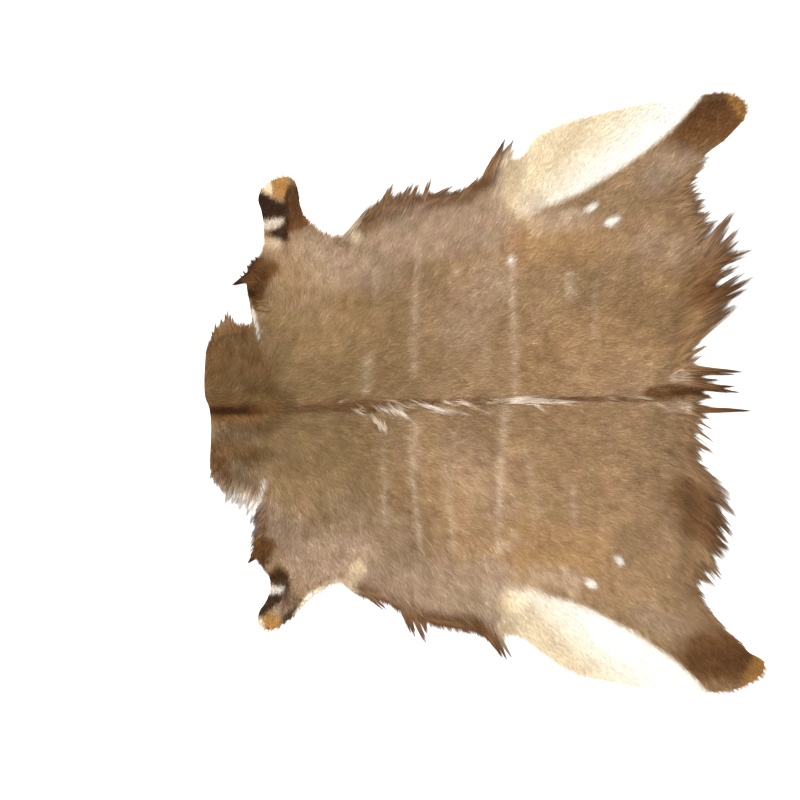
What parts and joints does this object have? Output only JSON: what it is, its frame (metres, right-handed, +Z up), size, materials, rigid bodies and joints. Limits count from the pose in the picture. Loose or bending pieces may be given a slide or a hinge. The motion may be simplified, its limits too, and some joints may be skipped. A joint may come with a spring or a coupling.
{
  "type": "nyala skin",
  "caption": "Flat antelope skin with its coat on, with leg flaps, a crest along the back and long hair locks at belly, rump and tail, for laying on a floor or table.",
  "frame": {"origin": "centre of the skin's box on the floor it lies on", "axes": "+Z up out of the fur, +X from the neck to the rump along the spine, +Y to the animal's right side"},
  "size_m": [1.334, 1.4242, 0.0145],
  "materials": {
    "fur": "sandy grey-brown lying coat with pale stripes, white spots, white inner thighs, dark brown long locks and banded foreleg ends, on matt tanned leather"
  },
  "bodies": {
    "root": {"skin": "fur"}
  },
  "joints": []
}
